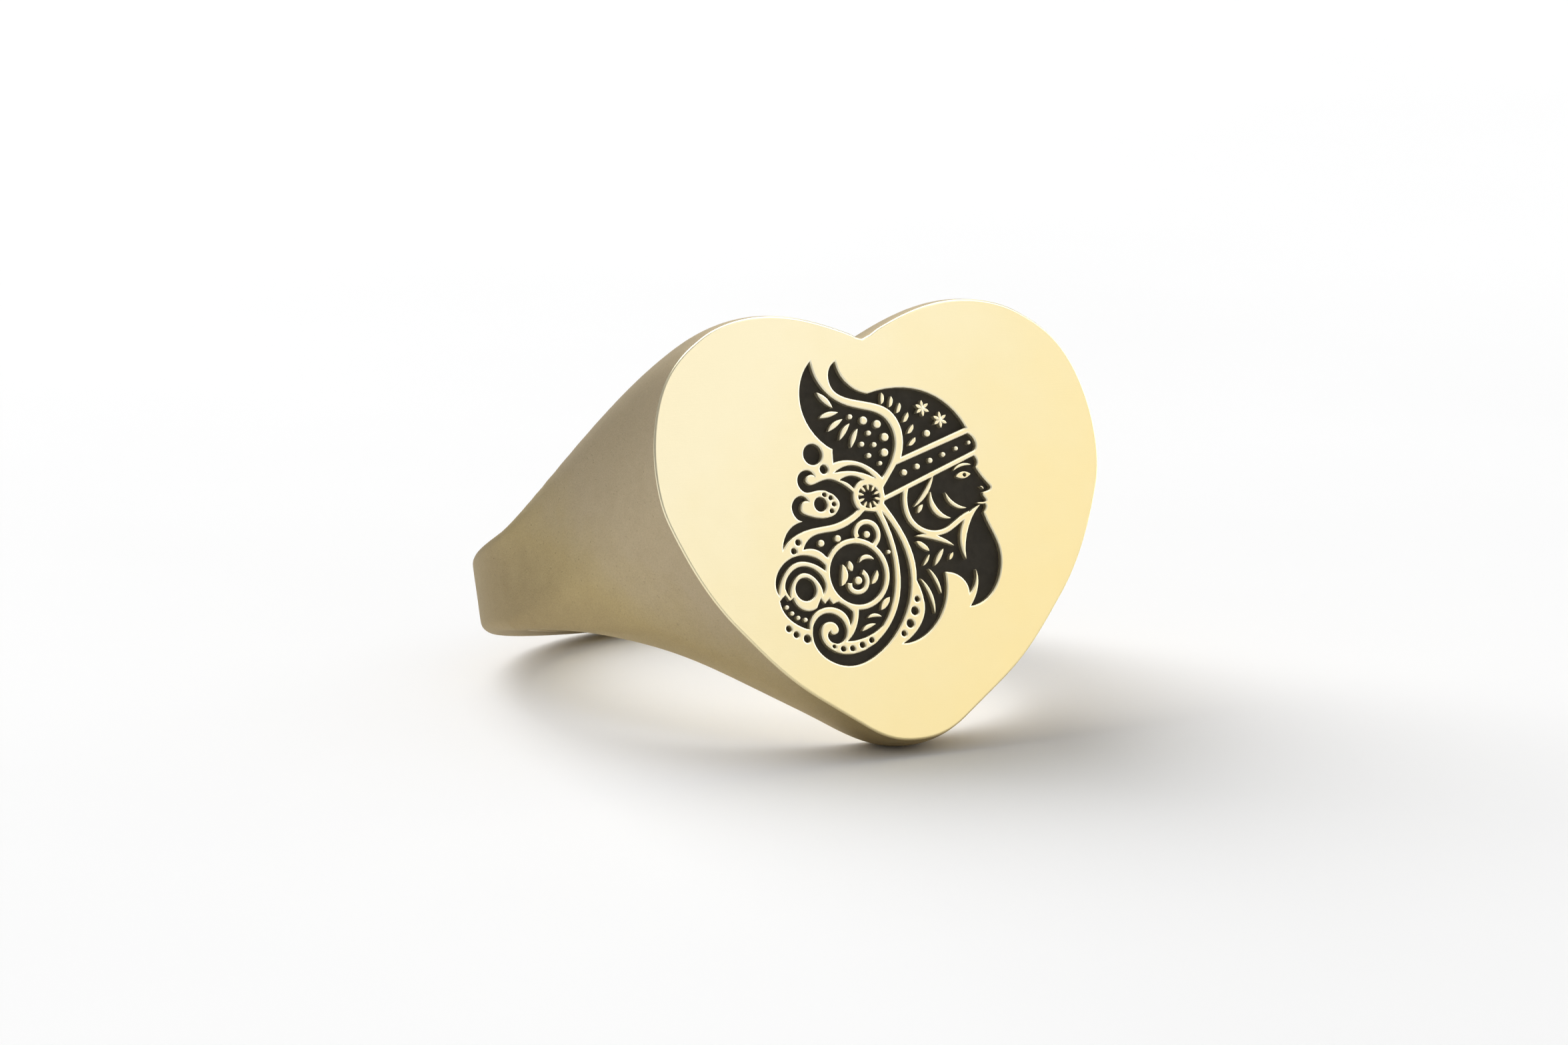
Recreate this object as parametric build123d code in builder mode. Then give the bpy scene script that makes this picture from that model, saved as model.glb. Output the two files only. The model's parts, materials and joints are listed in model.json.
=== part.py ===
"""Heart signet ring: a one-piece cast body whose engraved recesses are filled with black enamel."""
import os
from math import cos, radians, sin

from build123d import *

os.makedirs("parts", exist_ok=True)

# ---------------------------------------------------------------- driving dimensions, millimetres
BORE_RADIUS = 8.65          # US size 7 finger
FACE_DISTANCE = 11.25       # finger axis to the heart face
BAND_RADIUS = 10.4          # finger axis to the outside of the shank
BAND_ROUND = 0.5            # rounding of the shank's outer edges, in its cross-section
SIDE_HALF_WIDTH = 1.9       # half the shank's width at either side of the finger
BACK_HALF_WIDTH = 1.5       # half the shank's width at the back of the finger
SHANK_TAPER = 4             # 1 narrows the shank evenly towards the back; more narrows it sooner
HEAD_SECTIONS = 16
SECTION_CROWDING = 1.6      # 1 spaces the head's sections evenly; more crowds them where the band's corners form
SHOULDER_HEIGHTS = (0.5, -0.5)    # how fast the head's heights change at the finger's sides and at the face
SHOULDER_WIDTHS = (0, -0.4)       # the same for its widths: 1 is a straight taper, below 0 bulges first
TIP_HEIGHT = -8.25          # heart's point, along the finger axis
NOTCH_HEIGHT = 6.52         # heart's notch, along the finger axis
LEAN = 19.16                # degrees the finger axis leans back with the ring lying on its head and shank
ENGRAVING_DEPTH = 0.5       # heart face to the floor of the recesses
ENAMEL_LEVEL = 0.22         # heart face down to the top of the enamel
BOSS = (-0.65, 0.75)        # rosette at the root of the wing, on the heart face
BOSS_RADIUS = 0.43
BOSS_RIM = 0.66             # outside of the gold ring around the rosette
MEDALLION = (-1.57, -2.02)  # round ornament in the hair
MEDALLION_RADIUS = 1.12
MEDALLION_RIM = 1.32
TARGET = (-3.75, -2.38)     # centre of the arcs behind the medallion
TARGET_RADIUS = 0.42

# Half of the heart, from the notch to the point, as joints with the direction of travel there.
HEART_JOINTS = [
    ((0, NOTCH_HEIGHT), (0.90, 0.44)),
    ((6.55, 7.05), (0.86, -0.51)),
    ((8.75, 4.45), (0.32, -0.95)),
    ((8.86, 0.40), (-0.34, -0.94)),
    ((6.75, -3.50), (-0.65, -0.76)),
    ((0, TIP_HEIGHT), (-1, 0)),
]
# The points that each stretch between two joints passes through.
HEART_BETWEEN = [
    [(1.5, 7.16), (3.9, 7.66)],
    [(7.85, 6.05)],
    [(9.12, 2.40)],
    [(7.95, -1.70)],
    [(4.60, -5.78), (2.45, -7.32)],
]

# ---------------------------------------------------------------- the ring's attitude at rest
# The ring lies on the underside of the heart's point and the back of the shank.
face_normal = Vector(0, -cos(radians(LEAN)), sin(radians(LEAN)))
finger_axis = Vector(0, sin(radians(LEAN)), cos(radians(LEAN)))
face_plane = Plane(origin=face_normal * FACE_DISTANCE, x_dir=(1, 0, 0), z_dir=face_normal)


def radial_plane(angle):
    """A plane through the finger axis, with its x axis pointing out at that angle behind the right side."""
    out = Vector(1, 0, 0) * cos(radians(angle)) - face_normal * sin(radians(angle))
    return Plane(origin=(0, 0, 0), x_dir=out, z_dir=out.cross(finger_axis))


def between(start, end, share):
    """The point that share of the way from one point to another."""
    return tuple(a + (b - a) * share for a, b in zip(start, end))


def polar(centre, radius, angle):
    """The point at that distance and angle, in degrees, from a centre."""
    return (centre[0] + radius * cos(radians(angle)), centre[1] + radius * sin(radians(angle)))


# ---------------------------------------------------------------- head and shank
corner = BAND_RADIUS - BAND_ROUND
side_edge = SIDE_HALF_WIDTH - BAND_ROUND
diagonal = BAND_ROUND * sin(radians(45))
# Half of the section at the finger's sides, matched joint by joint with half of the heart.
SIDE_JOINTS = [
    ((0, SIDE_HALF_WIDTH), (1, 0)),
    ((corner, SIDE_HALF_WIDTH), (1, 0)),
    ((BAND_RADIUS, side_edge), (0, -1)),
    ((BAND_RADIUS, -side_edge), (0, -1)),
    ((corner, -SIDE_HALF_WIDTH), (-1, 0)),
    ((0, -SIDE_HALF_WIDTH), (-1, 0)),
]
SIDE_BETWEEN = [
    [(corner * 0.3, SIDE_HALF_WIDTH), (corner * 0.65, SIDE_HALF_WIDTH)],
    [(corner + diagonal, side_edge + diagonal)],
    [(BAND_RADIUS, 0)],
    [(corner + diagonal, -side_edge - diagonal)],
    [(corner * 0.65, -SIDE_HALF_WIDTH), (corner * 0.35, -SIDE_HALF_WIDTH)],
]


def share_left(depth, slopes):
    """How much of the heart's shape is left at that share of the way back, with these slopes at the ends."""
    left = 1 - depth
    at_sides, at_face = slopes
    smooth = left**2 * (3 - 2 * left)
    return smooth + at_sides * left * depth**2 - at_face * left**2 * depth


def shoulder(heart, side, depth):
    """The point that a heart point has moved to at that share of the way back to the finger's sides."""
    width = share_left(depth, SHOULDER_WIDTHS)
    height = share_left(depth, SHOULDER_HEIGHTS)
    return (side[0] + (heart[0] - side[0]) * width, side[1] + (heart[1] - side[1]) * height)


def head_section(depth):
    """The outline of the head or shoulders: depth 0 is the heart, and 1 is the section at the finger's sides."""
    joints = [
        (shoulder(heart, side, depth), shoulder(heart_way, side_way, depth))
        for (heart, heart_way), (side, side_way) in zip(HEART_JOINTS, SIDE_JOINTS)
    ]
    with BuildLine() as half:
        for k, (start, end) in enumerate(zip(joints, joints[1:])):
            middle = [shoulder(heart, side, depth) for heart, side in zip(HEART_BETWEEN[k], SIDE_BETWEEN[k])]
            Spline(start[0], *middle, end[0], tangents=[start[1], end[1]])
        mirror(about=Plane.YZ)
    make_face(half.edges())


def shank_section(half_width):
    """A rounded rectangle from inside the finger hole to the outside of the shank."""
    inner = BORE_RADIUS - BAND_ROUND
    flat = half_width - BAND_ROUND
    with BuildLine() as outside:
        for side in (1, -1):
            Line((inner, side * half_width), (corner, side * half_width))
            Spline(
                (corner, side * half_width),
                (corner + diagonal, side * (flat + diagonal)),
                (BAND_RADIUS, side * flat),
                tangents=[(1, 0), (0, -side)],
            )
        Line((BAND_RADIUS, flat), (BAND_RADIUS, -flat))
        Line((inner, -half_width), (inner, half_width))
    make_face(outside.edges())


with BuildPart() as head:
    for k in range(HEAD_SECTIONS + 1):
        depth = 1 - (1 - k / HEAD_SECTIONS) ** SECTION_CROWDING
        with BuildSketch(face_plane.offset(-depth * FACE_DISTANCE)):
            head_section(depth)
    loft()

with BuildPart() as shank:
    for angle in (0, 22.5, 45, 67.5, 90, 112.5, 135, 157.5, 180):
        widening = (1 - sin(radians(angle))) ** SHANK_TAPER
        with BuildSketch(radial_plane(angle)):
            shank_section(BACK_HALF_WIDTH + (SIDE_HALF_WIDTH - BACK_HALF_WIDTH) * widening)
    loft()


# ---------------------------------------------------------------- drawing helpers for the engraving
def outline(*stretches):
    """A closed recess whose stretches meet at corners: two points make a line, more make a smooth curve."""
    with BuildLine() as boundary:
        for points in stretches:
            if len(points) == 2:
                Line(*points)
            else:
                Spline(*points)
    make_face(boundary.edges())


def gold_line(width, *points):
    """A line of even width left standing in a recess."""
    with BuildLine() as path:
        Spline(*points)
    trace(path.line, line_width=width, mode=Mode.SUBTRACT)


def gold_leaf(start, end, left, right):
    """A pointed leaf left standing. Its sides bulge by those shares of its length, to the left of its way."""
    root, tip = Vector(*start), Vector(*end)
    along = tip - root
    across = Vector(-along.Y, along.X)
    middle = (root + tip) / 2
    with BuildLine() as boundary:
        ThreePointArc(root, middle + across * left, tip)
        ThreePointArc(tip, middle + across * right, root)
    make_face(boundary.edges(), mode=Mode.SUBTRACT)


def gold_dots(radius, *centres):
    """Round studs, or one disc, left standing in a recess."""
    with Locations(*centres):
        Circle(radius, mode=Mode.SUBTRACT)


def dark_dots(radius, *centres):
    """Round recesses of their own."""
    with Locations(*centres):
        Circle(radius)


def gold_flower(centre, radius):
    """Six leaves around a centre."""
    for k in range(6):
        gold_leaf(centre, polar(centre, radius, 90 + k * 60), 0.2, -0.2)
    gold_dots(radius * 0.2, centre)


def dark_crescent(centre, inner, outer, first, last):
    """An arc-shaped recess that tapers to a point at its two angles."""
    middle = (first + last) / 2
    early = (first * 2 + middle) / 3
    late = (last * 2 + middle) / 3
    start = polar(centre, (inner + outer) / 2, first)
    end = polar(centre, (inner + outer) / 2, last)
    outline(
        [start, polar(centre, outer, early), polar(centre, outer, middle), polar(centre, outer, late), end],
        [end, polar(centre, inner, late), polar(centre, inner, middle), polar(centre, inner, early), start],
    )


# ---------------------------------------------------------------- the engraving, one function per motif
# Points are on the heart face: x to the wearer's right, y along the finger axis, from the face's centre.
def front_wing():
    outline(
        [(-2.27, 5.86), (-2.82, 5.0), (-2.88, 4.1), (-2.5, 3.2), (-1.86, 2.6)],
        [(-1.86, 2.6), (-1.9, 2.1)],
        [(-1.9, 2.1), (-1.2, 2.14), (-0.55, 1.9), (0, 1.4)],
        [(0, 1.4), (0.52, 2.05), (0.74, 2.9), (0.42, 3.6), (-0.3, 3.93), (-1.15, 4.2), (-1.85, 4.75),
         (-2.2, 5.4), (-2.27, 5.86)],
    )
    gold_leaf((-2.2, 4.72), (-1.62, 4.1), 0.16, -0.1)
    gold_leaf((-2.22, 3.78), (-1.42, 3.92), 0.16, -0.1)
    gold_leaf((-1.95, 3.25), (-1.28, 3.66), 0.16, -0.1)
    gold_leaf((-1.52, 2.9), (-1.02, 3.48), 0.16, -0.1)
    gold_leaf((-1.1, 2.58), (-0.72, 3.26), 0.16, -0.1)
    gold_dots(0.155, (-0.42, 3.54), (0.12, 3.36), (0.36, 2.86), (0.26, 2.3))
    gold_dots(0.1, (-0.95, 3.72), (-0.62, 2.68), (-0.12, 2.62), (-0.4, 2.24), (-0.28, 3.06))
    gold_dots(0.085, (0.02, 1.92))
    gold_dots(BOSS_RIM, BOSS)


def helmet():
    outline(
        [(-1.25, 5.78), (-1.6, 5.3), (-1.5, 4.78), (-0.9, 4.4), (-0.05, 4.18), (0.68, 3.85), (1.06, 3.2),
         (1.08, 2.6), (0.92, 2.08)],
        [(0.92, 2.08), (3.74, 2.93)],
        [(3.74, 2.93), (3.2, 3.74), (2.3, 4.36), (1.15, 4.62), (-0.1, 4.5)],
        [(-0.1, 4.5), (-0.75, 4.82), (-1.1, 5.25), (-1.25, 5.78)],
    )
    gold_leaf((0.39, 4.07), (0.46, 4.49), 0.08, -0.3)
    gold_leaf((0.7, 3.93), (0.83, 4.33), 0.08, -0.3)
    gold_leaf((0.96, 3.69), (1.15, 4.06), 0.08, -0.3)
    gold_leaf((1.18, 3.34), (1.43, 3.68), 0.08, -0.3)
    gold_leaf((1.29, 2.91), (1.57, 3.22), 0.08, -0.3)
    gold_leaf((1.27, 2.47), (1.59, 2.74), 0.08, -0.3)
    gold_flower((2.05, 3.78), 0.3)
    gold_flower((2.72, 3.3), 0.3)
    gold_dots(0.13, (2.12, 2.85))


def headband():
    outline(
        [(0, 1.02), (0.66, 1.8)],
        [(0.66, 1.8), (3.78, 2.7)],
        [(3.78, 2.7), (3.98, 2.52), (4.04, 2.2), (3.94, 2.06)],
        [(3.94, 2.06), (0, 0.72)],
        [(0, 0.72), (0, 1.02)],
    )
    for k in range(6):
        gold_dots(0.12 - 0.009 * k, between((0.95, 1.5), (3.79, 2.36), k / 5))
    gold_dots(BOSS_RIM, BOSS)


def boss():
    dark_dots(BOSS_RADIUS, BOSS)
    for k in range(10):
        angle = 18 + k * 36
        gold_leaf(polar(BOSS, BOSS_RADIUS * 0.5, angle), polar(BOSS, BOSS_RADIUS * 1.2, angle), 0.16, -0.16)


def wing_crescents():
    outline([(-1.92, 1.74), (-1.1, 1.94), (-0.3, 1.42)], [(-0.3, 1.42), (-1.05, 1.72), (-1.92, 1.74)])
    outline(
        [(-1.76, 1.44), (-1.2, 1.56), (-0.7, 1.3)],
        [(-0.7, 1.3), (-1.2, 1.02)],
        [(-1.2, 1.02), (-1.42, 1.3), (-1.76, 1.44)],
    )
    gold_dots(BOSS_RIM, BOSS)


def upper_curls():
    outline(
        [(-4.46, -0.88), (-3.9, -0.42), (-3.1, -0.2), (-2.2, -0.12), (-1.5, 0.12), (-0.95, 0.5)],
        [(-0.95, 0.5), (-1.2, 0.9)],
        [(-1.2, 0.9), (-1.65, 1.3), (-2.2, 1.52), (-2.7, 1.42), (-3.02, 1.4), (-3.14, 1.58), (-2.98, 1.74),
         (-2.76, 1.7)],
        [(-2.76, 1.7), (-3.05, 1.92), (-3.38, 1.78), (-3.46, 1.45), (-3.22, 1.14), (-2.7, 1.16), (-2.2, 1.02),
         (-1.88, 0.62), (-2.05, 0.28), (-2.6, 0.12), (-3.15, 0.24), (-3.5, 0.5), (-3.4, 0.76), (-3.14, 0.8)],
        [(-3.14, 0.8), (-3.5, 1.0), (-3.82, 0.72), (-3.8, 0.36), (-3.5, 0.08)],
        [(-3.5, 0.08), (-4.1, -0.2), (-4.46, -0.88)],
    )
    gold_dots(BOSS_RIM, BOSS)


def curl_dots():
    dark_dots(0.26, (-2.66, 0.64))
    dark_dots(0.085, (-2.46, 0.97), (-2.22, 0.84), (-2.12, 0.6), (-2.24, 0.36))


def side_dots():
    dark_dots(0.38, (-2.7, 2.48))
    dark_dots(0.16, (-2.33, 1.9))
    dark_dots(0.11, (-3.8, -0.66), (-4.02, -0.96))


def hair():
    outline(
        [(-3.62, -0.94), (-3.05, -0.46), (-2.2, -0.38), (-1.4, -0.1), (-0.9, 0.25)],
        [(-0.9, 0.25), (-0.44, 0.16)],
        [(-0.44, 0.16), (-0.1, -0.85), (-0.02, -2.0), (-0.25, -3.05), (-0.82, -3.98)],
        [(-0.82, -3.98), (-1.5, -4.32), (-2.36, -4.42)],
        [(-2.36, -4.42), (-1.95, -4.0), (-1.75, -3.5), MEDALLION],
        [MEDALLION, (-2.75, -1.26)],
        [(-2.75, -1.26), (-3.1, -0.98), (-3.62, -0.94)],
    )
    gold_dots(MEDALLION_RIM, MEDALLION)
    gold_line(0.19, (-1.2, -1.16), (-0.82, -1.1), (-0.5, -0.74), (-0.6, -0.3), (-1.0, -0.16), (-1.36, -0.4),
              (-1.38, -0.7))
    gold_dots(0.13, (-0.95, -0.62), (-2.86, -0.77), (-2.16, -0.66))
    gold_dots(0.08, (-0.16, -1.34))
    gold_leaf((-0.82, -3.42), (-0.4, -2.98), 0.2, -0.2)
    gold_leaf((-1.42, -3.66), (-0.84, -3.66), 0.26, 0.02)
    gold_leaf((-1.72, -4.12), (-1.12, -3.9), 0.2, -0.05)


def medallion():
    dark_dots(MEDALLION_RADIUS, MEDALLION)
    gold_leaf((-2.3, -2.4), (-2.14, -1.62), 0.02, -0.34)
    gold_leaf((-1.84, -1.52), (-1.78, -1.9), 0.3, -0.3)
    gold_leaf((-1.06, -2.44), (-0.76, -1.96), 0.06, -0.3)
    gold_leaf((-1.44, -1.62), (-0.82, -1.56), 0.4, 0.12)
    gold_line(0.18, (-1.36, -1.96), (-1.2, -2.3), (-1.42, -2.64), (-1.82, -2.62), (-1.94, -2.32))
    gold_dots(0.15, (-1.56, -2.26))


def target():
    dark_dots(TARGET_RADIUS, TARGET)
    dark_crescent(TARGET, 0.6, 0.84, 203, -20)
    dark_crescent(TARGET, 1.03, 1.24, 186, 20)
    gold_dots(MEDALLION_RIM, MEDALLION)


def lower_band():
    outline(
        [(-4.86, -2.72), (-4.62, -2.52)],
        [(-4.62, -2.52), (-4.48, -2.74)],
        [(-4.48, -2.74), (-4.3, -2.64)],
        [(-4.3, -2.64), (-4.2, -2.92), (-3.86, -3.16), (-3.4, -3.1)],
        [(-3.4, -3.1), (-3.2, -2.78)],
        [(-3.2, -2.78), (-3.06, -2.98)],
        [(-3.06, -2.98), (-2.86, -2.82)],
        [(-2.86, -2.82), (-2.74, -3.02)],
        [(-2.74, -3.02), (-2.5, -2.96)],
        [(-2.5, -2.96), (-2.12, -3.22), (-1.98, -3.36)],
        [(-1.98, -3.36), (-2.06, -3.7), (-2.16, -3.86)],
        [(-2.16, -3.86), (-2.34, -3.36), (-2.8, -3.12), (-3.3, -3.16), (-3.7, -3.44), (-3.84, -3.84)],
        [(-3.84, -3.84), (-4.3, -3.62), (-4.68, -3.26), (-4.86, -2.72)],
    )
    gold_dots(0.085, (-4.62, -2.96), (-4.44, -3.2), (-4.22, -3.38), (-3.94, -3.48))


def scroll():
    outline(
        [(-0.2, 0.14), (0.28, -0.62), (0.56, -1.5), (0.58, -2.5), (0.3, -3.4), (-0.32, -4.3), (-1.2, -5.0),
         (-2.25, -5.32), (-3.12, -5.08), (-3.68, -4.45), (-3.68, -3.78), (-3.15, -3.34), (-2.56, -3.5),
         (-2.33, -3.98), (-2.55, -4.4), (-2.93, -4.43), (-3.12, -4.2), (-3.0, -3.98)],
        [(-3.0, -3.98), (-2.86, -4.13), (-2.68, -4.05), (-2.7, -3.8), (-2.97, -3.64), (-3.3, -3.78),
         (-3.38, -4.2), (-3.02, -4.68), (-2.3, -4.9), (-1.35, -4.66), (-0.62, -4.1), (0, -3.1), (0.2, -2.0),
         (0.1, -0.85), (-0.2, 0.14)],
    )
    gold_dots(BOSS_RIM, BOSS)


def scroll_dots():
    dark_dots(0.07, (-2.94, -4.56))
    dark_dots(0.1, (-2.58, -4.68), (-2.2, -4.7), (-1.38, -4.47))
    dark_dots(0.11, (-1.78, -4.61))


def edge_dots():
    dark_dots(0.11, (-4.67, -3.74), (-4.4, -3.98))
    dark_dots(0.14, (-3.98, -4.17))


def beard_dots():
    dark_dots(0.1, (0.72, -3.16), (-0.02, -4.36))
    dark_dots(0.15, (0.56, -3.58), (0.3, -4.02))


def face_and_beard():
    outline(
        [(-0.1, 0.5), (3.92, 1.86)],
        [(3.92, 1.86), (4.0, 1.68), (3.9, 1.44)],
        [(3.9, 1.44), (4.1, 1.1), (4.34, 0.78)],
        [(4.34, 0.78), (4.41, 0.65), (4.33, 0.56)],
        [(4.33, 0.56), (4.06, 0.48)],
        [(4.06, 0.48), (4.07, 0.36), (4.15, 0.22), (4.03, 0.11)],
        [(4.03, 0.11), (4.11, 0.02), (4.07, -0.12), (3.97, -0.24)],
        [(3.97, -0.24), (4.14, -0.75), (4.4, -1.5), (4.3, -2.5), (3.8, -3.25), (2.9, -3.62)],
        [(2.9, -3.62), (3.2, -3.2), (3.34, -2.8), (3.3, -2.3)],
        [(3.3, -2.3), (3.2, -2.8), (2.92, -3.15)],
        [(2.92, -3.15), (2.85, -2.75), (2.5, -2.4), (2.02, -2.28)],
        [(2.02, -2.28), (1.98, -3.0), (1.55, -3.9), (0.85, -4.5), (-0.1, -4.72)],
        [(-0.1, -4.72), (0.55, -4.3), (0.98, -3.6), (0.98, -3.0), (0.82, -2.46)],
        [(0.82, -2.46), (0.82, -1.5), (0.5, -0.55), (-0.1, 0.5)],
    )
    # eye, brow, nostril, mouth and cheek
    gold_leaf((3.04, 1.16), (3.66, 1.2), 0.22, -0.18)
    dark_dots(0.075, (3.4, 1.19))
    gold_leaf((2.96, 1.38), (3.74, 1.54), 0.2, 0.07)
    gold_leaf((3.98, 0.72), (4.1, 0.6), 0.3, 0.05)
    gold_leaf((3.74, 0.13), (4.2, 0.11), 0.02, -0.12)
    gold_leaf((2.5, 0.62), (3.3, -0.02), -0.24, -0.1)
    # cheek guard and the locks in front of the ear
    gold_line(0.2, (1.06, 1.12), (0.8, 0.4), (0.98, -0.34), (1.62, -0.78), (2.36, -0.76), (2.98, -0.42),
              (3.4, -0.24))
    gold_leaf((2.1, 1.3), (1.12, 0.2), 0.14, 0.02)
    gold_leaf((1.26, -0.04), (1.5, 0.26), 0.25, -0.2)
    gold_leaf((1.9, 0.7), (2.6, -0.34), -0.32, -0.14)
    # beard
    gold_leaf((3.86, 0.04), (2.98, -1.9), -0.24, -0.1)
    gold_leaf((1.02, -0.86), (2.56, -1.36), 0.14, 0.02)
    gold_leaf((1.02, -1.06), (1.5, -1.46), 0.2, -0.12)
    gold_leaf((1.16, -1.98), (1.48, -1.58), 0.06, -0.16)
    gold_leaf((1.64, -2.02), (2.1, -1.42), 0.12, -0.12)
    gold_leaf((2.28, -1.86), (2.46, -1.6), 0.2, -0.2)
    gold_leaf((1.36, -2.1), (1.74, -3.06), 0.14, 0.02)
    gold_leaf((0.96, -2.42), (1.36, -3.76), 0.16, 0.06)
    gold_dots(BOSS_RIM, BOSS)


MOTIFS = {
    "front_wing": front_wing,
    "helmet": helmet,
    "headband": headband,
    "boss": boss,
    "wing_crescents": wing_crescents,
    "upper_curls": upper_curls,
    "curl_dots": curl_dots,
    "side_dots": side_dots,
    "hair": hair,
    "medallion": medallion,
    "target": target,
    "lower_band": lower_band,
    "scroll": scroll,
    "scroll_dots": scroll_dots,
    "edge_dots": edge_dots,
    "beard_dots": beard_dots,
    "face_and_beard": face_and_beard,
}

# ---------------------------------------------------------------- enamel, one piece per motif
for name, draw in MOTIFS.items():
    with BuildPart() as enamel:
        with BuildSketch(face_plane.offset(-ENGRAVING_DEPTH)):
            draw()
        extrude(amount=ENGRAVING_DEPTH - ENAMEL_LEVEL)
    enamel.part.label = f"enamel_{name}"
    export_step(enamel.part, f"parts/enamel_{name}.step")

# ---------------------------------------------------------------- ring body
with BuildPart() as ring_body:
    add(head.part)
    add(shank.part)
    with BuildSketch(Plane(origin=finger_axis * -FACE_DISTANCE, x_dir=(1, 0, 0), z_dir=finger_axis)):
        Circle(BORE_RADIUS)
    extrude(amount=FACE_DISTANCE * 2, mode=Mode.SUBTRACT)
    for draw in MOTIFS.values():
        with BuildSketch(face_plane.offset(-ENGRAVING_DEPTH)):
            draw()
        extrude(amount=ENGRAVING_DEPTH * 2, mode=Mode.SUBTRACT)
ring_body.part.label = "ring_body"
export_step(ring_body.part, "parts/ring_body.step")
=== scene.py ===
"""Signet ring with an engraved heart face: satin gold, black enamel in the recesses, a pale studio."""

import json
import math

import bmesh
import bpy
import numpy as np
from mathutils import Matrix, Vector
from mathutils.geometry import delaunay_2d_cdt


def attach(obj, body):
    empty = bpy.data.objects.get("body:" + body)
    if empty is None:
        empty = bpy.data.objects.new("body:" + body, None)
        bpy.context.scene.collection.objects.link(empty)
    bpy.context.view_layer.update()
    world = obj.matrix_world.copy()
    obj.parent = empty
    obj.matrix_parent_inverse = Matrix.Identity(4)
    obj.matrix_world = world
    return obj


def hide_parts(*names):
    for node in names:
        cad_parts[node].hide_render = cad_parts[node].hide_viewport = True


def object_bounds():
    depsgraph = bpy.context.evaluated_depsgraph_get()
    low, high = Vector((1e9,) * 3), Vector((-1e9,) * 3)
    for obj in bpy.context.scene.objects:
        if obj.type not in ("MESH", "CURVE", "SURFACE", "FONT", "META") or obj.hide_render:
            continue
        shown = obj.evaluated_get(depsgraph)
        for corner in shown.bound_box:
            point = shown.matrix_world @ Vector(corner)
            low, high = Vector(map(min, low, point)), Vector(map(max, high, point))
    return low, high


MM = 0.001

# guards against dividing by zero
TINY = 1e-12
TINY_AREA = 1e-18
TINY_TURN = 1e-15

# welding and sorting
WELD = 0.0001 * MM
ON_FACE = 0.001 * MM
ON_BORE = 0.004 * MM
MESH_WELD = 0.00002 * MM

# smooth surface and softened edges
SMOOTH_PASSES = 1
LARGEST_BULGE = 0.06  # of a triangle's side
RIM_EASE = 0.16 * MM
HEART_EASE = 0.08 * MM
EASE_STEPS = 5

# engraved edges, eased less where the gold is narrow or two of them would cross
ENGRAVED_EASE = 0.07 * MM
ENGRAVED_STEP = 0.12 * MM
FINE_EASE_STEPS = 3
GAP_SHARE = 0.4
FREE_WAY = 1000 * MM
FIRST_HIT = 0.001 * MM
END_SLACK = 1e-6  # of an edge
SHARP_TURN = math.radians(30)
LONGEST_MITRE = 1.5
EASE_SLOPE = 0.5
EASE_SPREADS = 4
EASE_CUT = 0.5
EASE_CUTS = 12
LEAST_EASE = 0.004 * MM
CROSSING_REACH = 0.10 * MM
SAME_POINT = 0.000001 * MM
SLIVER = 0.00001 * MM**2

# the ring mesh's materials, by number
FACE, SIDES, BORE, EDGES = range(4)

# gold, its shades on a scale of 0 to 1 along which random blotches and a slow drift move each place; the
# drift is painted shading, lighter or darker where light falls across the ring
# face: pale to warm gold; its drift is painted shading, paler at the face's upper left and warmer yellow at
# its lower right
FACE_SHADES = [(0.1, (0.925, 0.845, 0.60)), (0.5, (0.905, 0.795, 0.49)), (0.9, (0.925, 0.775, 0.41))]
# sides: the face's gold painted darker as shade, and along their drift painted shade from a paler, pinker top
# to a darker, browner back and bottom of the band
SIDE_SHADES_PAINTED_SHADE = [
    (0.0, (0.56, 0.465, 0.307)),
    (0.17, (0.55, 0.448, 0.255)),
    (0.26, (0.53, 0.424, 0.222)),
    (0.5, (0.435, 0.342, 0.182)),
    (0.8, (0.405, 0.316, 0.167)),
]
BORE_SHADES = [(0.35, (0.66, 0.56, 0.34)), (0.65, (0.74, 0.62, 0.38))]
# engraved edges and pocket walls: a paler, near-white gold that paints a highlight along the engraved edges
EDGE_SHADES_PAINTED_HIGHLIGHT = [(0.1, (0.99, 0.93, 0.74)), (0.9, (0.99, 0.90, 0.62))]
BLOTCH = 2.2 * MM
BLOTCH_SHARE = 0.3
# the length along which a drift of one moves a place across the whole scale of shades, for the painted
# shading
PAINTED_DRIFT_LENGTH = 9 * MM * math.sqrt(2)
ROUGH_PATCH = 0.6 * MM
SCRATCH = 0.05 * MM
SCRATCH_DEPTH = 0.0015 * MM
SCRATCH_SQUEEZE = 0.04
PIT = 0.11 * MM
PIT_DEPTH = 0.006 * MM
PIT_SHADES = [(0.24, (0, 0, 0)), (0.31, (1, 1, 1))]
SPECKLE_LOW, SPECKLE_HIGH = 0.3, 0.7

# enamel
ENAMEL_SHADES = [(0.3, (0.037, 0.032, 0.023)), (0.7, (0.054, 0.046, 0.034))]
ENAMEL_ROUGH = (0.42, 0.6)
ENAMEL_BLOTCH = 0.5 * MM
ENAMEL_PATCH = 0.3 * MM
ENAMEL_RIPPLE = 0.12 * MM
ENAMEL_RIPPLE_DEPTH = 0.004 * MM

# floor, in metres, and the strengths of the world's light
FLOOR_SIZE = 3.0
FLOOR_CELLS = 8
PAPER_PATCH = 40 * MM
PAPER_SHADES = [(0.3, (0.93, 0.93, 0.93)), (0.7, (0.95, 0.95, 0.95))]
WORLD_LIGHT = 0.34
BACKDROP_LIGHT = 1.0

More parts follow.
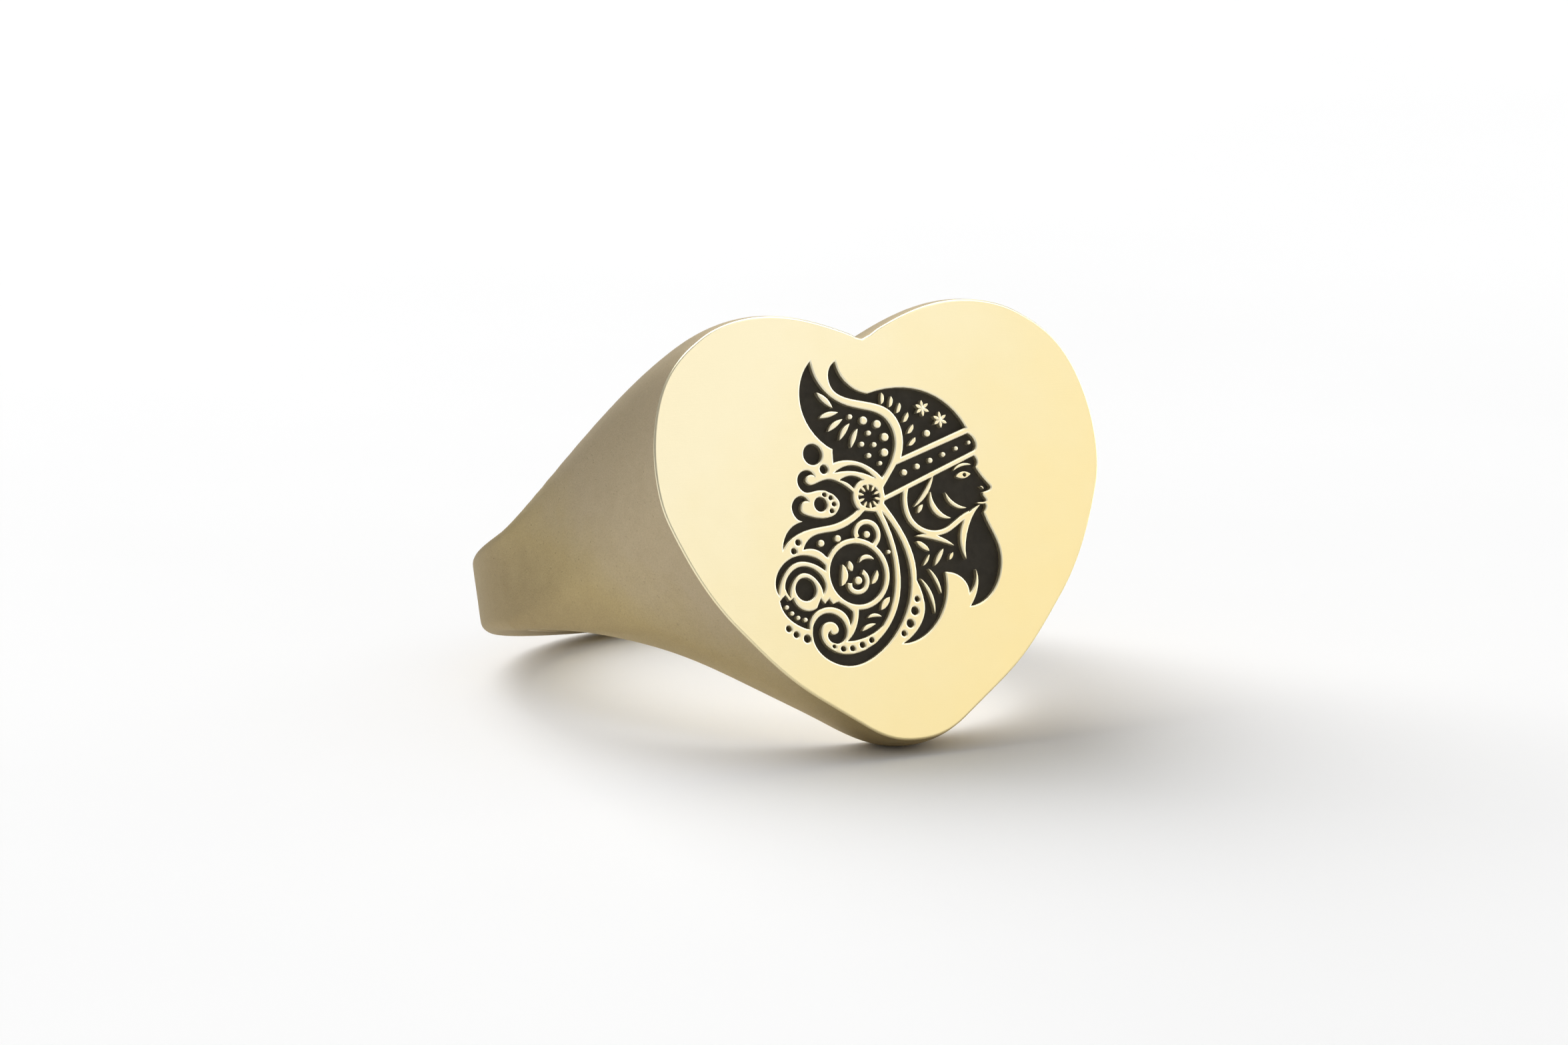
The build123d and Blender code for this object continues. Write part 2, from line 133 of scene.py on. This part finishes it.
# camera, in millimetres, at the photograph's viewing angle
CAMERA_PLACE = Vector((-137.20, -258.06, 65.74))
CAMERA_RIGHT = Vector((0.88226, -0.47058, 0.01331))
CAMERA_BACK = Vector((-0.46211, -0.86029, 0.21532))
FOCAL_LENGTH = 182.55
SENSOR_WIDTH = 36
NEAREST_SEEN, FARTHEST_SEEN = 10, 20000

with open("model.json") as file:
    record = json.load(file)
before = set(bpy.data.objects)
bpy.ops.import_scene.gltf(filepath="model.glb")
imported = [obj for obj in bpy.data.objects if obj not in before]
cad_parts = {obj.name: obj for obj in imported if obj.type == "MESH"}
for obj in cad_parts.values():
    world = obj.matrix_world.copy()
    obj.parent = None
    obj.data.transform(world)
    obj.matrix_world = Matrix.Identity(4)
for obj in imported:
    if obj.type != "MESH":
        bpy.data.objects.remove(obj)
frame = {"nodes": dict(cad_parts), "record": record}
cad_low, cad_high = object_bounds()
record = frame["record"]


def mount(name):
    """The record's mount of this name."""
    return next(entry for entry in record["mounts"] if entry["name"] == name)


bore, signet = mount("finger_bore"), mount("signet_face")
finger_axis = np.array(bore["axis"])
face_normal = np.array(signet["axis"])
across = np.cross(finger_axis, face_normal)
axes = np.array([across, finger_axis, face_normal])
face_distance = float(np.dot(signet["pos_m"], face_normal))
bore_radius = bore["dims"]["r_mm"] * MM


def to_face(points):
    """Points of the frame as (across, along the finger, above the face)."""
    return points @ axes.T - np.array([0, 0, face_distance])


def from_face(points):
    """Points given as (across, along the finger, above the face), in the frame."""
    return (points + np.array([0, 0, face_distance])) @ axes


def unit(vectors):
    """The vectors' directions, with length one."""
    return vectors / np.maximum(np.linalg.norm(vectors, axis=-1, keepdims=True), TINY)


def cross(a, b):
    """The cross product of vectors in the plane of the face."""
    return a[..., 0] * b[..., 1] - a[..., 1] * b[..., 0]


def welded(mesh):
    """A mesh's points and triangles, with the points that CAD faces repeat along their edges made one."""
    work = bmesh.new()
    work.from_mesh(mesh)
    bmesh.ops.remove_doubles(work, verts=work.verts, dist=WELD)
    work.verts.index_update()
    points = np.array([v.co for v in work.verts], float)
    triangles = np.array([[v.index for v in f.verts] for f in work.faces])
    work.free()
    return points, triangles


def connected(triangles, count):
    """A number for each point, the same for all points that triangles join."""
    label = np.arange(count)
    while True:
        lowest = label[triangles].min(axis=1)
        after = label.copy()
        for corner in range(3):
            np.minimum.at(after, triangles[:, corner], lowest)
        after = after[after]
        if np.array_equal(after, label):
            return label
        label = after


def sides_of(triangles):
    """The three sides of every triangle, as pairs of points."""
    return np.concatenate([triangles[:, [a, b]] for a, b in ((0, 1), (1, 2), (2, 0))])


def open_loops(triangles):
    """The loops of points round the open edges, each with the surface on its left."""
    known = {(a, b) for a, b in sides_of(triangles).tolist()}
    following = {a: b for a, b in known if (b, a) not in known}
    loops = []
    while following:
        start, point = next(iter(following.items()))
        del following[start]
        loop = [start]
        while point != start:
            loop.append(point)
            point = following.pop(point)
        loops.append(np.array(loop))
    return loops


def smooth_normals(points, triangles):
    """Each point's normal, from its triangles weighted by their angle there."""
    corners = points[triangles]
    flat = unit(np.cross(corners[:, 1] - corners[:, 0], corners[:, 2] - corners[:, 0]))
    normals = np.zeros_like(points)
    for corner in range(3):
        ahead = unit(corners[:, (corner + 1) % 3] - corners[:, corner])
        behind = unit(corners[:, (corner + 2) % 3] - corners[:, corner])
        angle = np.arccos(np.clip((ahead * behind).sum(axis=1), -1, 1))
        np.add.at(normals, triangles[:, corner], flat * angle[:, None])
    return unit(normals)


def finer(points, normals, triangles):
    """Each triangle as four, their new points on the smooth surface that the normals describe."""
    edges = np.sort(sides_of(triangles), axis=1)
    edges, which = np.unique(edges, axis=0, return_inverse=True)
    first, second = points[edges[:, 0]], points[edges[:, 1]]
    first_normal, second_normal = normals[edges[:, 0]], normals[edges[:, 1]]
    run = second - first
    rise = (run * first_normal).sum(axis=1)[:, None]
    fall = (run * second_normal).sum(axis=1)[:, None]
    bulge = (fall * second_normal - rise * first_normal) / 8
    most = LARGEST_BULGE * np.linalg.norm(run, axis=1) / np.maximum(np.linalg.norm(bulge, axis=1), TINY)
    middle = (first + second) / 2 + bulge * np.minimum(most, 1)[:, None]
    both = first_normal + second_normal
    tilt = (run * both).sum(axis=1) / np.maximum((run * run).sum(axis=1), TINY_AREA)
    middle_normal = unit(both - tilt[:, None] * run)
    a, b, c = triangles.T
    ab, bc, ca = which.reshape(3, -1) + len(points)
    parts = [(a, ab, ca), (ab, b, bc), (ca, bc, c), (ab, bc, ca)]
    return (
        np.concatenate([points, middle]),
        np.concatenate([normals, middle_normal]),
        np.concatenate([np.column_stack(part) for part in parts]),
    )


def along(loop_points):
    """The direction of a closed loop at each of its points."""
    return unit(np.roll(loop_points, -1, axis=0) - np.roll(loop_points, 1, axis=0))


pieces = {"points": [], "normals": [], "faces": [], "finish": [], "count": 0}


def add_patch(points, normals, faces, finish):
    """Adds faces with their own points and normals to the ring's mesh."""
    pieces["points"].append(points)
    pieces["normals"].append(normals)
    pieces["faces"] += (np.asarray(faces) + pieces["count"]).tolist()
    pieces["finish"] += [finish] * len(faces)
    pieces["count"] += len(points)


def add_strip(start, corner, end, start_normal, end_normal, steps, finish):
    """A rounded strip along a loop, from start to end, that leaves both towards the corner between them."""
    points, normals, faces = [], [], []
    count = len(start)
    ahead = (np.arange(count) + 1) % count
    for step in range(steps + 1):
        share = step / steps
        points.append((1 - share) ** 2 * start + 2 * share * (1 - share) * corner + share**2 * end)
        normals.append(unit((1 - share) * start_normal + share * end_normal))
        if step:
            upper, lower = (step - 1) * count, step * count
            here = np.arange(count)
            faces.append(np.column_stack([upper + ahead, upper + here, lower + here, lower + ahead]))
    points[0], points[-1] = start, end
    add_patch(np.concatenate(points), np.concatenate(normals), np.concatenate(faces), finish)


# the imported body, sorted into its face, its pockets, its bore and its outside
body_points, body_triangles = welded(frame["nodes"]["ring_body"].data)
body_local = to_face(body_points)
on_face = (abs(body_local[body_triangles][:, :, 2]) < ON_FACE).all(axis=1)
label = connected(body_triangles[~on_face], len(body_points))
lowest_point = np.argmin(body_local[:, 2])
shell = body_triangles[~on_face]
shell = shell[label[shell[:, 0]] == label[lowest_point]]
from_axis = np.linalg.norm(body_local[:, [0, 2]] + np.array([0, face_distance]), axis=1)
in_bore = (abs(from_axis[shell] - bore_radius) < ON_BORE).all(axis=1)
outside, inside = shell[~in_bore], shell[in_bore]
face_loops = open_loops(body_triangles[on_face])
rim_loops = open_loops(inside)
heart_loop = max(face_loops, key=lambda loop: np.ptp(body_local[loop][:, 0]))
engraved_loops = [loop for loop in face_loops if loop is not heart_loop]

outside_points, outside_normals = body_points.copy(), smooth_normals(body_points, outside)
inside_points = body_points.copy()
radial = unit(body_points - np.outer(body_points @ finger_axis, finger_axis))
inside_normals = -radial


def away_from_edge(points, normals, loop):
    """Unit directions on the surface, square to its open edge and into it."""
    return unit(np.cross(normals[loop], along(points[loop])))


outside_loops = open_loops(outside)
outside_rims = [loop for loop in outside_loops if from_axis[loop].max() < bore_radius + ON_BORE]
outside_heart = next(loop for loop in outside_loops if from_axis[loop].max() > bore_radius + ON_BORE)
outside_moves = {}
for loop, ease in [(outside_heart, HEART_EASE)] + [(loop, RIM_EASE) for loop in outside_rims]:
    outside_moves[loop[0]] = away_from_edge(outside_points, outside_normals, loop) * ease
inside_moves = {loop[0]: away_from_edge(inside_points, inside_normals, loop) * RIM_EASE for loop in rim_loops}
for loop in outside_loops:
    outside_points[loop] += outside_moves[loop[0]]
for loop in rim_loops:
    inside_points[loop] += inside_moves[loop[0]]

for _ in range(SMOOTH_PASSES):
    outside_points, outside_normals, outside = finer(outside_points, outside_normals, outside)
    inside_points, inside_normals, inside = finer(inside_points, inside_normals, inside)
used, outside_faces = np.unique(outside, return_inverse=True)
add_patch(outside_points[used], outside_normals[used], outside_faces.reshape(-1, 3), SIDES)
used, inside_faces = np.unique(inside, return_inverse=True)
add_patch(inside_points[used], inside_normals[used], inside_faces.reshape(-1, 3), BORE)


def started_at(loop, point):
    """The same loop, with the point as its first."""
    return np.roll(loop, -int(np.flatnonzero(loop == point)[0]))


# rounded strips between the outside and the face, and between the outside and the bore
corner_count = len(body_points)
inside_loops = open_loops(inside)
for loop in open_loops(outside):
    normals = outside_normals[loop]
    points = outside_points[loop]
    away = away_from_edge(outside_points, outside_normals, loop)
    inner = next((other for other in inside_loops if np.isin(other[other < corner_count], loop).any()), None)
    if inner is None:
        corner = to_face(points - away * HEART_EASE)
        corner[:, 2] = 0
        tangent = along(corner[:, :2])
        inward = np.column_stack([tangent[:, 1], -tangent[:, 0], np.zeros(len(corner))])
        heart_flat = corner + inward * HEART_EASE
        heart_normals = np.tile(face_normal, (len(loop), 1))
        add_strip(
            from_face(heart_flat)[::-1], from_face(corner)[::-1], points[::-1], heart_normals, normals[::-1],
            EASE_STEPS, FACE,
        )
        heart_flat = heart_flat[::-1]
        continue
    shared = inner[inner < corner_count][0]
    inner = started_at(inner[::-1], shared)
    outer = started_at(loop, shared)
    outer_away = away_from_edge(outside_points, outside_normals, outer) * RIM_EASE
    inner_away = -away_from_edge(inside_points, inside_normals, inner) * RIM_EASE
    corner = (outside_points[outer] - outer_away + inside_points[inner] - inner_away) / 2
    add_strip(
        outside_points[outer], corner, inside_points[inner], outside_normals[outer], inside_normals[inner],
        EASE_STEPS, BORE,
    )


def with_short_steps(loop):
    """A closed loop of face points with no step longer than ENGRAVED_STEP."""
    ahead = np.roll(loop, -1, axis=0)
    parts = np.ceil(np.linalg.norm(ahead - loop, axis=1) / ENGRAVED_STEP).astype(int)
    return np.concatenate([
        start + (end - start) * (np.arange(count) / count)[:, None]
        for start, end, count in zip(loop, ahead, parts)
    ])


engraved = [with_short_steps(body_local[loop][:, :2]) for loop in engraved_loops]
heart = heart_flat[:, :2]
starts = np.concatenate(engraved + [heart])
ends = np.concatenate([np.roll(loop, -1, axis=0) for loop in engraved + [heart]])


def clearances(points, directions):
    """How far each point can go in its direction before it meets an edge of the engraving."""
    run = ends - starts
    nearest = np.full(len(points), FREE_WAY)
    for index, (point, way) in enumerate(zip(points, directions)):
        gap = starts - point
        turn = cross(way, run)
        turn = np.where(abs(turn) < TINY_TURN, TINY_TURN, turn)
        distance = cross(gap, run) / turn
        place = cross(gap, way) / turn
        hit = (distance > FIRST_HIT) & (place > -END_SLACK) & (place < 1 + END_SLACK)
        if hit.any():
            nearest[index] = distance[hit].min()
    return nearest


def room_to_ease(loop):
    """Each point's way into the gold on the loop's left, longer at corners, and how far it can be eased."""
    before, after = loop - np.roll(loop, 1, axis=0), np.roll(loop, -1, axis=0) - loop
    lengths = np.minimum(np.linalg.norm(before, axis=1), np.linalg.norm(after, axis=1))
    before, after = unit(before), unit(after)
    left = unit(np.column_stack([-(before + after)[:, 1], (before + after)[:, 0]]))
    mitre = 1 / np.maximum(cross(after, left), 1 / LONGEST_MITRE)
    turn = np.arctan2(cross(before, after), (before * after).sum(axis=1))
    ease = np.minimum(ENGRAVED_EASE, GAP_SHARE * clearances(loop, left))
    ease = np.where(turn > SHARP_TURN, np.minimum(ease, GAP_SHARE * lengths), ease)
    for _ in range(EASE_SPREADS):
        ease = np.minimum(ease, np.minimum(np.roll(ease, 1), np.roll(ease, -1)) + EASE_SLOPE * lengths)
    return left * mitre[:, None], ease


def triangulated(loops):
    """The loops' points, their edges, all triangles between them, and the places where loops cross."""
    flat = np.concatenate(loops)
    edges, base = [], 0
    for loop in loops:
        edges += [(base + i, base + (i + 1) % len(loop)) for i in range(len(loop))]
        base += len(loop)
    vectors = [Vector(point) for point in flat]
    places, _, faces, sources, _, _ = delaunay_2d_cdt(vectors, edges, [], 0, SAME_POINT, True)
    crossings = [place for place, source in zip(places, sources) if not source]
    whole = [face for face in faces if all(sources[corner] for corner in face)]
    triangles = [[sources[corner][0] for corner in face] for face in whole]
    return flat, np.array(edges), np.array(triangles), np.array(crossings)


def enclosed(places, starts, ends):
    """Which places have an odd number of the edges on their right."""
    count = np.zeros(len(places), int)
    for a, b in zip(starts, ends):
        spans = (a[1] > places[:, 1]) != (b[1] > places[:, 1])
        if spans.any():
            meeting = a[0] + (places[:, 1] - a[1]) * (b[0] - a[0]) / (b[1] - a[1])
            count += spans & (places[:, 0] < meeting)
    return count % 2 == 1


def regions(triangles, borders):
    """A number for each triangle, the same for all that touch across edges that aren't borders."""
    borders = {frozenset(edge) for edge in borders.tolist()}
    first, touching = {}, []
    for index, (a, b, c) in enumerate(triangles.tolist()):
        for edge in {frozenset((a, b)), frozenset((b, c)), frozenset((c, a))} - borders:
            if edge in first:
                touching.append((index, first[edge], first[edge]))
            first[edge] = index
    return connected(np.array(touching), len(triangles))


def without_crossings(loops, others):
    """The loops moved into the gold by their eases, and the eases, cut where loops would cross."""
    ways, eases = zip(*[room_to_ease(loop) for loop in loops])
    for _ in range(EASE_CUTS):
        moved = [loop + way * ease[:, None] for loop, way, ease in zip(loops, ways, eases)]
        crossings = triangulated(moved + others)[3]
        if not len(crossings):
            return moved, eases
        for loop, ease in zip(moved, eases):
            nearest = np.linalg.norm(loop[:, None] - crossings[None], axis=2).min(axis=1)
            ease[nearest < CROSSING_REACH] *= EASE_CUT
            ease[ease < LEAST_EASE] = 0
    raise ValueError("the engraved edges still cross")


def filled(loops, height, finish):
    """Triangles at a height above the face: what an odd number of the loops encloses."""
    flat, edges, triangles, _ = triangulated(loops)
    corners = flat[triangles]
    area = cross(corners[:, 1] - corners[:, 0], corners[:, 2] - corners[:, 0])
    region = regions(triangles, edges)
    by_size = np.argsort(-abs(area))
    number, first = np.unique(region[by_size], return_index=True)
    largest = by_size[first]
    within = enclosed(corners[largest].mean(axis=1), flat[edges[:, 0]], flat[edges[:, 1]])
    within &= abs(area[largest]) > SLIVER
    triangles[area < 0] = triangles[area < 0][:, ::-1]
    triangles = triangles[np.isin(region, number[within])]
    add_patch(lifted(flat, height), np.tile(face_normal, (len(flat), 1)), triangles, finish)


def lifted(loop, height):
    """Points of the face's plane at a height above it, in the frame."""
    return from_face(np.column_stack([loop, np.broadcast_to(height, len(loop))]))


# the engraved pockets, with walls and softened edges, then the face and the pockets' floors
pockets = body_triangles[~on_face]
pockets = pockets[label[pockets[:, 0]] != label[lowest_point]]
floor_level = body_local[np.unique(pockets)][:, 2].min()
flat_loops, eases = without_crossings(engraved, [heart])
for loop, flat_loop, ease in zip(engraved, flat_loops, eases):
    tangent = along(loop)
    wall = np.column_stack([tangent[:, 1], -tangent[:, 0], np.zeros(len(loop))]) @ axes
    upper = np.tile(face_normal, (len(loop), 1))
    brink = lifted(loop, -ease)
    add_strip(lifted(flat_loop, 0), lifted(loop, 0), brink, upper, wall, FINE_EASE_STEPS, EDGES)
    add_strip(brink, lifted(loop, (floor_level - ease) / 2), lifted(loop, floor_level), wall, wall, 1, EDGES)
filled(flat_loops + [heart], 0, FACE)
filled(engraved, floor_level, EDGES)


def finished_mesh(name):
    """All patches as one mesh, their shared points made one."""
    points, normals = np.concatenate(pieces["points"]), np.concatenate(pieces["normals"])
    keys = np.round(points / MESH_WELD).astype(np.int64)
    _, first, which = np.unique(keys, axis=0, return_index=True, return_inverse=True)
    which = which.ravel()
    faces, finish = [], []
    for face, material in zip(pieces["faces"], pieces["finish"]):
        corners = list(dict.fromkeys(int(which[corner]) for corner in face))
        if len(corners) > 2:
            faces.append(corners)
            finish.append(material)
    mesh = bpy.data.meshes.new(name)
    mesh.from_pydata(points[first].tolist(), [], faces)
    mesh.polygons.foreach_set("material_index", finish)
    mesh.polygons.foreach_set("use_smooth", [True] * len(faces))
    mesh.validate()
    mesh.normals_split_custom_set_from_vertices(normals[first].tolist())
    return mesh


class Nodes:
    """A new node material, with short calls for its nodes and links."""

    def __init__(self, name, **values):
        self.material = bpy.data.materials.new(name)
        self.material.use_nodes = True
        self.tree = self.material.node_tree
        self.shader = self.tree.nodes["Principled BSDF"]
        for socket, value in values.items():
            self.shader.inputs[socket.replace("_", " ")].default_value = value
        self.place = self.add("ShaderNodeTexCoord").outputs["Object"]

    def add(self, kind, inputs=None, **settings):
        """A node with its settings, and its inputs either linked or set."""
        node = self.tree.nodes.new(kind)
        for setting, value in settings.items():
            setattr(node, setting, value)
        for socket, value in (inputs or {}).items():
            if isinstance(value, bpy.types.NodeSocket):
                self.tree.links.new(value, node.inputs[socket])
            else:
                node.inputs[socket].default_value = value
        return node

    def noise(self, size, detail=3.0, roughness=0.55, place=None):
        """Noise whose blotches are about this many metres wide."""
        inputs = {"Vector": place or self.place, "Scale": 1 / size, "Detail": detail, "Roughness": roughness}
        return self.add("ShaderNodeTexNoise", inputs).outputs["Fac"]

    def between(self, factor, low, high):
        """A factor as a value that runs from low to high."""
        inputs = {"Value": factor, "To Min": low, "To Max": high}
        return self.add("ShaderNodeMapRange", inputs).outputs["Result"]

    def ramp(self, factor, stops):
        """A colour from stops of (factor, colour)."""
        node = self.add("ShaderNodeValToRGB", {"Fac": factor})
        elements = node.color_ramp.elements
        while len(elements) < len(stops):
            elements.new(0.5)
        for element, (position, colour) in zip(elements, stops):
            element.position, element.color = position, (*colour, 1)
        return node.outputs["Color"]

    def along(self, direction):
        """The place along a direction, in metres."""
        inputs = {0: self.place, 1: tuple(direction)}
        return self.add("ShaderNodeVectorMath", inputs, operation="DOT_PRODUCT").outputs["Value"]

    def scaled(self, value, factor, offset):
        """A value times a factor, plus an offset or another value."""
        inputs = {0: value, 1: factor, 2: offset}
        return self.add("ShaderNodeMath", inputs, operation="MULTIPLY_ADD").outputs["Value"]

    def multiplied(self, colour, other):
        """Two colours multiplied."""
        inputs = {0: 1.0, 6: colour, 7: other}
        return self.add("ShaderNodeMix", inputs, data_type="RGBA", blend_type="MULTIPLY").outputs[2]

    def stretched(self, factors):
        """The place with each direction of the face scaled, for grain that runs one way."""
        parts = [self.along(axis * factor) for axis, factor in zip(axes, factors)]
        return self.add("ShaderNodeCombineXYZ", dict(zip("XYZ", parts))).outputs["Vector"]

    def bump(self, height, distance, under=None):
        """A normal bumped by a height of up to the distance, over another bump if there is one."""
        inputs = {"Height": height, "Distance": distance, "Strength": 1.0}
        if under:
            inputs["Normal"] = under
        return self.add("ShaderNodeBump", inputs).outputs["Normal"]

    def finish(self, **links):
        """The material, with these outputs linked to its shader."""
        for socket, output in links.items():
            self.tree.links.new(output, self.shader.inputs[socket.replace("_", " ")])
        return self.material


def gold(name, shades, rough, grain, grain_height, painted_drift=0.0, way=(0, 0, 0), pits=0.0):
    """Satin gold with grain and scratches, whose shade varies in blotches and drifts along a way as painted
    shading.
    """
    nodes = Nodes(name, Metallic=1.0)
    # painted shading: the shade drifts along the way, in place of light and shade falling across the ring
    painted_drift_shade = nodes.scaled(nodes.along(way), painted_drift / PAINTED_DRIFT_LENGTH, 0.5 - BLOTCH_SHARE / 2)
    colour = nodes.ramp(nodes.scaled(nodes.noise(BLOTCH, 4), BLOTCH_SHARE, painted_drift_shade), shades)
    roughness = nodes.between(nodes.noise(ROUGH_PATCH, 5), *rough)
    surface = nodes.bump(nodes.noise(grain, 4, 0.65), grain_height)
    scratches = nodes.noise(SCRATCH, 2, place=nodes.stretched((SCRATCH_SQUEEZE, 1.0, 1.0)))
    surface = nodes.bump(scratches, SCRATCH_DEPTH, under=surface)
    if pits:
        dark, light = (1 - pits,) * 3, (1, 1, 1)
        hollow = nodes.ramp(nodes.noise(PIT, 1), PIT_SHADES)
        surface = nodes.bump(hollow, PIT_DEPTH, under=surface)
        speckle = nodes.ramp(nodes.noise(grain, 3), [(SPECKLE_LOW, dark), (SPECKLE_HIGH, light)])
        colour = nodes.multiplied(colour, speckle)
        colour = nodes.multiplied(colour, nodes.ramp(hollow, [(0, dark), (1, light)]))
    return nodes.finish(Base_Color=colour, Roughness=roughness, Normal=surface)


def enamel():
    """Black enamel with a slightly uneven, half-gloss surface."""
    nodes = Nodes("black_enamel", IOR=1.5, Specular_IOR_Level=0.12)
    colour = nodes.ramp(nodes.noise(ENAMEL_BLOTCH, 4), ENAMEL_SHADES)
    roughness = nodes.between(nodes.noise(ENAMEL_PATCH, 4), *ENAMEL_ROUGH)
    uneven = nodes.bump(nodes.noise(ENAMEL_RIPPLE, 3), ENAMEL_RIPPLE_DEPTH)
    return nodes.finish(Base_Color=colour, Roughness=roughness, Normal=uneven)


# painted shading on the face and the engraved edges runs along this way: paler to the upper left, warmer to
# the lower right
painted_shading_lower_right = axes[0] - axes[1]
# painted shade on the sides runs along this way, darker and browner towards the back and bottom of the band
painted_shade_down_and_back = -axes[1] - axes[2]
face_gold_painted_shading = gold(
    "gold_face_painted_shading", FACE_SHADES, rough=(0.30, 0.38), grain=0.07 * MM, grain_height=0.0015 * MM,
    painted_drift=0.5, way=painted_shading_lower_right,
)
# sides: satin gold with real pits, painted darker than the face's gold as shade
side_gold_painted_shade = gold(
    "gold_sides_painted_shade", SIDE_SHADES_PAINTED_SHADE, rough=(0.52, 0.66), grain=0.06 * MM, grain_height=0.009 * MM,
    painted_drift=0.8, way=painted_shade_down_and_back, pits=0.14,
)
bore_gold = gold("gold_bore", BORE_SHADES, rough=(0.30, 0.42), grain=0.10 * MM, grain_height=0.003 * MM)
# the engraved edges' gold, paler than the face's to paint white highlight lines along them, with the face's
# painted shading
edge_gold_painted_highlight = gold(
    "gold_edges_painted_highlight", EDGE_SHADES_PAINTED_HIGHLIGHT, rough=(0.42, 0.50), grain=0.09 * MM, grain_height=0.0015 * MM,
    painted_drift=0.5, way=painted_shading_lower_right,
)

ring = bpy.data.objects.new("ring", finished_mesh("ring"))
bpy.context.scene.collection.objects.link(ring)
for material in (face_gold_painted_shading, side_gold_painted_shade, bore_gold, edge_gold_painted_highlight):
    ring.data.materials.append(material)
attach(ring, "root")
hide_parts("ring_body")

black = enamel()
for name, node in frame["nodes"].items():
    if name.startswith("enamel_"):
        for slot in range(len(node.material_slots)):
            node.material_slots[slot].material = black

# floor
floor_mesh = bpy.data.meshes.new("floor")
work = bmesh.new()
bmesh.ops.create_grid(work, x_segments=FLOOR_CELLS, y_segments=FLOOR_CELLS, size=FLOOR_SIZE)
bmesh.ops.translate(work, verts=work.verts, vec=(0, 0, cad_low.z))
work.to_mesh(floor_mesh)
work.free()
floor = bpy.data.objects.new("floor", floor_mesh)
bpy.context.scene.collection.objects.link(floor)
floor_nodes = Nodes("floor_paper", Roughness=0.9)
paper = floor_nodes.ramp(floor_nodes.noise(PAPER_PATCH), PAPER_SHADES)
floor.data.materials.append(floor_nodes.finish(Base_Color=paper))


def area_light(name, place, size, power, colour=(1, 1, 1), on_metal=True, on_floor=True):
    """A soft square light at a place in metres, turned to the ring, on the metal, the floor or both."""
    data = bpy.data.lights.new(name, "AREA")
    data.shape, data.size, data.energy, data.color = "SQUARE", size, power, colour
    light = bpy.data.objects.new(name, data)
    light.location = place
    light.rotation_mode = "QUATERNION"
    light.rotation_quaternion = (-Vector(place)).to_track_quat("-Z", "Y")
    light.visible_glossy, light.visible_diffuse = on_metal, on_floor
    bpy.context.scene.collection.objects.link(light)


# light
area_light("ceiling", (-0.6, 1.8, 1.5), size=3.0, power=94.0, on_metal=False)
area_light("overhead", (0.14, 0.46, 1.12), size=1.20, power=15.0, on_floor=False)
area_light("key", (0.42, -0.30, 0.50), size=0.16, power=0.9, colour=(1.0, 0.97, 0.90), on_floor=False)
area_light("front", (0.36, -0.66, 0.30), size=0.5, power=0.62, colour=(1.0, 0.97, 0.91), on_floor=False)
area_light("right", (0.80, -0.08, 0.22), size=0.60, power=3.6, on_floor=False)

world = bpy.data.worlds.new("studio")
bpy.context.scene.world = world
world.use_nodes = True
background = world.node_tree.nodes["Background"]
background.inputs["Color"].default_value = (1, 1, 1, 1)
seen = world.node_tree.nodes.new("ShaderNodeLightPath")
strength = world.node_tree.nodes.new("ShaderNodeMapRange")
strength.inputs["To Min"].default_value = WORLD_LIGHT
strength.inputs["To Max"].default_value = BACKDROP_LIGHT
world.node_tree.links.new(seen.outputs["Is Camera Ray"], strength.inputs["Value"])
world.node_tree.links.new(strength.outputs["Result"], background.inputs["Strength"])

# camera
camera_data = bpy.data.cameras.new("camera")
camera_data.lens, camera_data.sensor_width = FOCAL_LENGTH, SENSOR_WIDTH
camera_data.clip_start, camera_data.clip_end = NEAREST_SEEN * MM, FARTHEST_SEEN * MM
camera = bpy.data.objects.new("camera", camera_data)
camera_back = CAMERA_BACK.normalized()
camera_right = (CAMERA_RIGHT - CAMERA_RIGHT.dot(camera_back) * camera_back).normalized()
camera_up = camera_back.cross(camera_right)
turned = Matrix((camera_right, camera_up, camera_back)).transposed().to_4x4()
camera.matrix_world = Matrix.Translation(CAMERA_PLACE * MM) @ turned
bpy.context.scene.collection.objects.link(camera)
bpy.context.scene.camera = camera
bpy.context.scene.view_settings.view_transform = "Standard"
